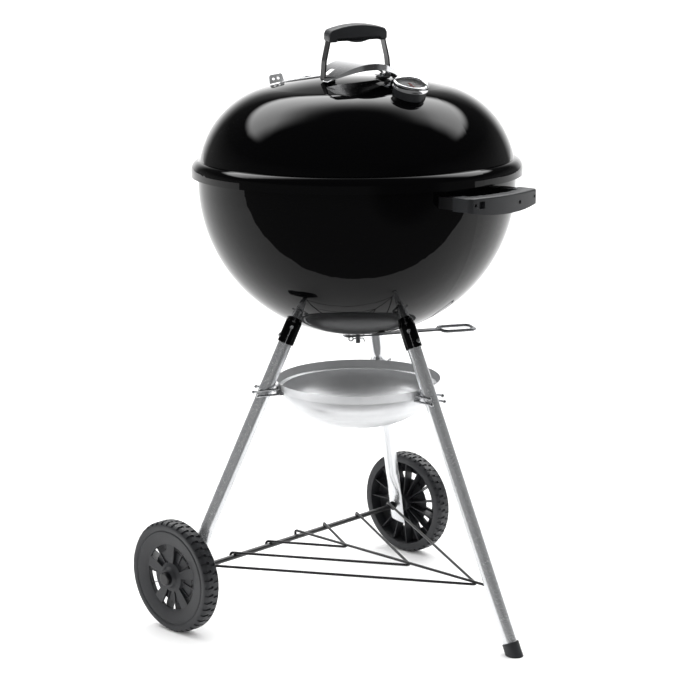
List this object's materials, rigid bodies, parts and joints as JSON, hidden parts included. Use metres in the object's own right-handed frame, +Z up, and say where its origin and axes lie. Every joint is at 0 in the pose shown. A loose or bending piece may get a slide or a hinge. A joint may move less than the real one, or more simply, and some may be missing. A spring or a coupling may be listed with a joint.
{
  "type": "kettle charcoal grill",
  "caption": "Round kettle charcoal grill with a domed lid, a deep bowl and an ash dish, on splayed tubular legs with wheels and a wire rack.",
  "frame": {"origin": "on the floor, where the kettle's own upright axis meets it", "axes": "+Z up; +X from the kettle axis towards the front leg, which stands on its foot; +Y along the axle, towards the right wheel"},
  "size_m": [0.7347, 0.6814, 1.0812],
  "materials": {
    "black_enamel": "gloss",
    "satin_aluminium": "satin",
    "spun_aluminium": "satin",
    "polished_steel": "gloss",
    "grey_nylon": "matte",
    "wheel_plastic": "matte",
    "black_steel": "satin",
    "plated_steel": "satin",
    "sweep_steel": "satin",
    "dial_paint": "satin",
    "needle_paint": "satin",
    "clear_glass": "gloss"
  },
  "bodies": {
    "stand": {"axle": "black_steel", "axle_collars": "black_steel", "bottom_rack": "black_steel", "bowl_shell": "black_enamel", "button_spring_front": "plated_steel", "button_spring_rear_left": "plated_steel", "button_spring_rear_right": "plated_steel", "charcoal_grate_tabs": "black_steel", "cooking_grate_tabs": "black_steel", "foot_cap": "grey_nylon", "hub_cap_left": "black_steel", "hub_cap_right": "black_steel", "leg_front": "satin_aluminium", "leg_rear_left": "satin_aluminium", "leg_rear_right": "satin_aluminium", "leg_socket_front": "black_enamel", "leg_socket_rear_left": "black_enamel", "leg_socket_rear_right": "black_enamel", "side_handle_bracket_front": "black_steel", "side_handle_bracket_rear": "black_steel", "side_handle_front": "grey_nylon", "side_handle_rear": "grey_nylon", "side_handle_screws": "plated_steel"},
    "lid": {"lid_shell": "black_enamel", "lid_handle_strap": "black_steel", "lid_handle_grip": "grey_nylon", "lid_heat_shield": "polished_steel", "lid_handle_bolts": "polished_steel", "lid_handle_nuts": "plated_steel", "lid_damper_rivet": "polished_steel", "lid_hook": "black_steel", "thermometer_case": "grey_nylon", "thermometer_bezel": "polished_steel", "thermometer_dial": "dial_paint", "thermometer_lens": "clear_glass", "thermometer_stem": "plated_steel", "thermometer_nut": "plated_steel"},
    "lid_damper": {"lid_damper": "spun_aluminium"},
    "thermometer_needle": {"thermometer_needle": "needle_paint"},
    "wheel_left": {"wheel_left": "wheel_plastic"},
    "wheel_right": {"wheel_right": "wheel_plastic"},
    "ash_dish": {"ash_dish": "spun_aluminium", "ash_dish_clips": "plated_steel", "ash_dish_brackets": "plated_steel"},
    "ash_sweep": {"sweep_hub": "sweep_steel", "sweep_blade_1": "sweep_steel", "sweep_blade_2": "sweep_steel", "sweep_blade_3": "sweep_steel", "sweep_lever": "sweep_steel", "sweep_lever_grip": "sweep_steel", "sweep_spacer": "sweep_steel", "sweep_cotter": "plated_steel"},
    "cooking_grate": {"cooking_grate": "plated_steel"},
    "charcoal_grate": {"charcoal_grate": "plated_steel"},
    "leg_button_front": {"leg_button_front": "plated_steel"},
    "leg_button_rear_left": {"leg_button_rear_left": "plated_steel"},
    "leg_button_rear_right": {"leg_button_rear_right": "plated_steel"}
  },
  "joints": [
    {"name": "lid_lift", "type": "slide", "parent": "stand", "child": "lid", "axis": [0, 0, 1], "range_m": [0, 0.3]},
    {"name": "lid_damper_turn", "type": "hinge", "parent": "lid", "child": "lid_damper", "pos_m": [-0.10307, -0.02003, 0.97801], "axis": [-0.1523, -0.0296, 0.9879], "range_deg": [0, 45]},
    {"name": "thermometer_needle_turn", "type": "hinge", "parent": "lid", "child": "thermometer_needle", "pos_m": [0.16542, -0.04525, 0.96381], "axis": [-0.2934, 0.0803, -0.9526], "range_deg": [0, 240], "stiffness_Nm_per_rad": 0.0005},
    {"name": "wheel_left_spin", "type": "hinge", "parent": "stand", "child": "wheel_left", "pos_m": [-0.1615, -0.3123, 0.1018], "axis": [0, 1, 0], "continuous": true},
    {"name": "wheel_right_spin", "type": "hinge", "parent": "stand", "child": "wheel_right", "pos_m": [-0.1615, 0.3123, 0.1018], "axis": [0, 1, 0], "continuous": true},
    {"name": "ash_dish_drop", "type": "slide", "parent": "stand", "child": "ash_dish", "axis": [0, 0, -1], "range_m": [0, 0.08]},
    {"name": "ash_sweep_turn", "type": "hinge", "parent": "stand", "child": "ash_sweep", "pos_m": [0, 0, 0.52], "axis": [0, 0, 1], "range_deg": [-42, 42]},
    {"name": "cooking_grate_lift", "type": "slide", "parent": "stand", "child": "cooking_grate", "axis": [0, 0, 1], "range_m": [0, 0.02]},
    {"name": "charcoal_grate_lift", "type": "slide", "parent": "stand", "child": "charcoal_grate", "axis": [0, 0, 1], "range_m": [0, 0.12]},
    {"name": "leg_button_front_press", "type": "slide", "parent": "stand", "child": "leg_button_front", "axis": [-0.9107, 0, -0.4131], "range_m": [0, 0.0035], "stiffness_N_per_m": 800, "springref_m": -0.003},
    {"name": "leg_button_rear_left_press", "type": "slide", "parent": "stand", "child": "leg_button_rear_left", "axis": [0.4553, 0.7887, -0.4131], "range_m": [0, 0.0035], "stiffness_N_per_m": 800, "springref_m": -0.003},
    {"name": "leg_button_rear_right_press", "type": "slide", "parent": "stand", "child": "leg_button_rear_right", "axis": [0.4553, -0.7887, -0.4131], "range_m": [0, 0.0035], "stiffness_N_per_m": 800, "springref_m": -0.003}
  ]
}
